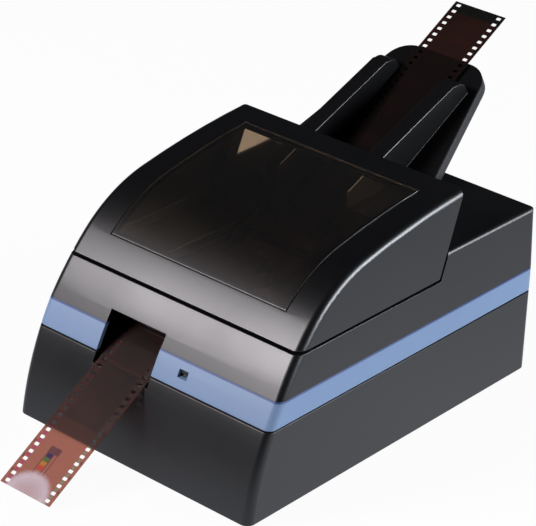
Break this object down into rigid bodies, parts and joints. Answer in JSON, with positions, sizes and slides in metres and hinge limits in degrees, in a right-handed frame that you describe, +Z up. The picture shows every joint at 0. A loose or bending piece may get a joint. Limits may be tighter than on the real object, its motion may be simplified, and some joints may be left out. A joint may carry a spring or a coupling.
{
  "type": "film negative scanner",
  "caption": "Desktop scanner for 35 mm film strips: sloping hopper, hinged curved lid with a smoked window, geared roller transport, light gate and a front exit slot.",
  "frame": {"origin": "on the table, under the middle of the whole length from film end to film end and midway between the sides", "axes": "+X to the right of someone facing the slot, -Y out of the front slot, +Y to the hopper, +Z up"},
  "size_m": [0.1614, 0.3571, 0.1645],
  "materials": {
    "charcoal_shell": "satin black moulded plastic with a fine grain",
    "band_blue": "satin lilac-blue moulded plastic",
    "tray_grey": "satin dark grey moulded plastic",
    "smoked_window": "smoked clear acrylic, polished",
    "film_brown": "developed colour negative, dark brown",
    "film_orange": "developed colour negative, orange base with a clear end",
    "foot_rubber": "matt black rubber",
    "roller_rubber": "ground black rubber",
    "pad_rubber": "brown friction rubber",
    "steel_pin": "bright ground steel",
    "screw_steel": "zinc-plated steel",
    "sheet_steel": "galvanised sheet steel",
    "spring_steel": "spring steel strip",
    "guide_black": "matt black moulded plastic",
    "bearing_white": "natural acetal",
    "pinion_brass": "turned brass on a steel shaft",
    "diffuser_white": "opal white plastic",
    "board_green": "green solder mask on glass fibre",
    "lens_clear": "coated optical glass",
    "chip_black": "moulded epoxy",
    "ribbon_white": "white flat ribbon",
    "socket_tin": "tin-plated steel shell",
    "pipe_clear": "frosted clear light pipe"
  },
  "bodies": {
    "scanner": {"lower_casing": "charcoal_shell", "colour_band": "band_blue", "upper_casing": "charcoal_shell", "hinge_pins": "steel_pin", "lid_bumpers": "foot_rubber", "feet": "foot_rubber", "case_screws": "screw_steel", "film_hopper": "charcoal_shell", "tray_back": "tray_grey", "scanned_film": "film_orange", "base_plate": "sheet_steel", "left_side_plate": "sheet_steel", "right_side_plate": "sheet_steel", "plate_screws": "screw_steel", "film_bed": "guide_black", "gate_cover": "guide_black", "separator_bar": "sheet_steel", "separator_pad": "pad_rubber", "shaft_bushings": "bearing_white", "pinch_springs": "spring_steel", "gear_studs": "steel_pin", "motor_can": "sheet_steel", "motor_screws": "screw_steel", "flag_sensor": "guide_black", "backlight_housing": "guide_black", "backlight_diffuser": "diffuser_white", "backlight_board": "board_green", "lens_holder": "guide_black", "lens_barrel": "guide_black", "lens_glass": "lens_clear", "sensor_board": "board_green", "image_sensor": "chip_black", "sensor_cable": "ribbon_white", "main_board": "board_green", "board_chips": "chip_black", "board_screws": "screw_steel", "usb_socket": "socket_tin", "power_jack": "guide_black", "switch_body": "guide_black", "indicator_lens": "pipe_clear", "indicator_board": "board_green"},
    "lid": {"lid": "charcoal_shell", "window": "smoked_window"},
    "pick_roller": {"pick_shaft": "steel_pin", "pick_tyre": "roller_rubber", "pick_gear": "bearing_white"},
    "entry_roller": {"entry_shaft": "steel_pin", "entry_tyres": "roller_rubber", "entry_gear": "bearing_white"},
    "exit_roller": {"exit_shaft": "steel_pin", "exit_tyres": "roller_rubber", "exit_gear": "bearing_white"},
    "gate_gear": {"gate_gear": "bearing_white"},
    "link_gear": {"link_gear": "bearing_white"},
    "motor_rotor": {"motor_pinion": "pinion_brass"},
    "entry_pinch": {"entry_pinch": "steel_pin"},
    "exit_pinch": {"exit_pinch": "steel_pin"},
    "film_flag": {"film_flag": "guide_black"},
    "power_rocker": {"power_rocker": "guide_black"},
    "loaded_film": {"loaded_film": "film_brown"}
  },
  "joints": [
    {"name": "lid_hinge", "type": "hinge", "parent": "scanner", "child": "lid", "pos_m": [0, 0.03441, 0.12259], "axis": [-1, 0, 0], "range_deg": [0, 68]},
    {"name": "gate_gear_spin", "type": "hinge", "parent": "scanner", "child": "gate_gear", "pos_m": [-0.0187, -0.04338, 0.05661], "axis": [1, 0, 0], "continuous": true},
    {"name": "link_gear_spin", "type": "hinge", "parent": "scanner", "child": "link_gear", "pos_m": [-0.0187, 0.00559, 0.05806], "axis": [1, 0, 0], "continuous": true},
    {"name": "pick_roller_spin", "type": "hinge", "parent": "scanner", "child": "pick_roller", "pos_m": [-0.0187, 0.02094, 0.07087], "axis": [1, 0, 0], "continuous": true},
    {"name": "entry_roller_spin", "type": "hinge", "parent": "scanner", "child": "entry_roller", "pos_m": [-0.0187, -0.01438, 0.05699], "axis": [1, 0, 0], "continuous": true},
    {"name": "exit_roller_spin", "type": "hinge", "parent": "scanner", "child": "exit_roller", "pos_m": [-0.0187, -0.07238, 0.05623], "axis": [1, 0, 0], "continuous": true},
    {"name": "motor_spin", "type": "hinge", "parent": "scanner", "child": "motor_rotor", "pos_m": [-0.0187, -0.04338, 0.02961], "axis": [1, 0, 0], "continuous": true},
    {"name": "entry_pinch_spin", "type": "hinge", "parent": "scanner", "child": "entry_pinch", "pos_m": [-0.0187, -0.01555, 0.06728], "axis": [1, 0, 0], "continuous": true},
    {"name": "exit_pinch_spin", "type": "hinge", "parent": "scanner", "child": "exit_pinch", "pos_m": [-0.0187, -0.07355, 0.06651], "axis": [1, 0, 0], "continuous": true},
    {"name": "film_flag_swing", "type": "hinge", "parent": "scanner", "child": "film_flag", "pos_m": [-0.0187, -0.00342, 0.07228], "axis": [1, 0, 0], "range_deg": [-45, 0]},
    {"name": "power_rocker_tilt", "type": "hinge", "parent": "scanner", "child": "power_rocker", "pos_m": [-0.05, 0.1061, 0.0285], "axis": [1, 0, 0], "range_deg": [-18, 0]},
    {"name": "film_feed", "type": "slide", "parent": "scanner", "child": "loaded_film", "axis": [0, 0.8746, 0.4848], "range_m": [0, 0.15]}
  ],
  "couplings": [
    {"joint": "entry_roller_spin", "follows": "gate_gear_spin", "ratio": -2.2222},
    {"joint": "exit_roller_spin", "follows": "gate_gear_spin", "ratio": -2.2222},
    {"joint": "link_gear_spin", "follows": "gate_gear_spin", "ratio": 1.8182},
    {"joint": "pick_roller_spin", "follows": "gate_gear_spin", "ratio": -2.2222},
    {"joint": "motor_spin", "follows": "gate_gear_spin", "ratio": -2.8571},
    {"joint": "entry_pinch_spin", "follows": "gate_gear_spin", "ratio": 2.4691},
    {"joint": "exit_pinch_spin", "follows": "gate_gear_spin", "ratio": 2.4691}
  ]
}
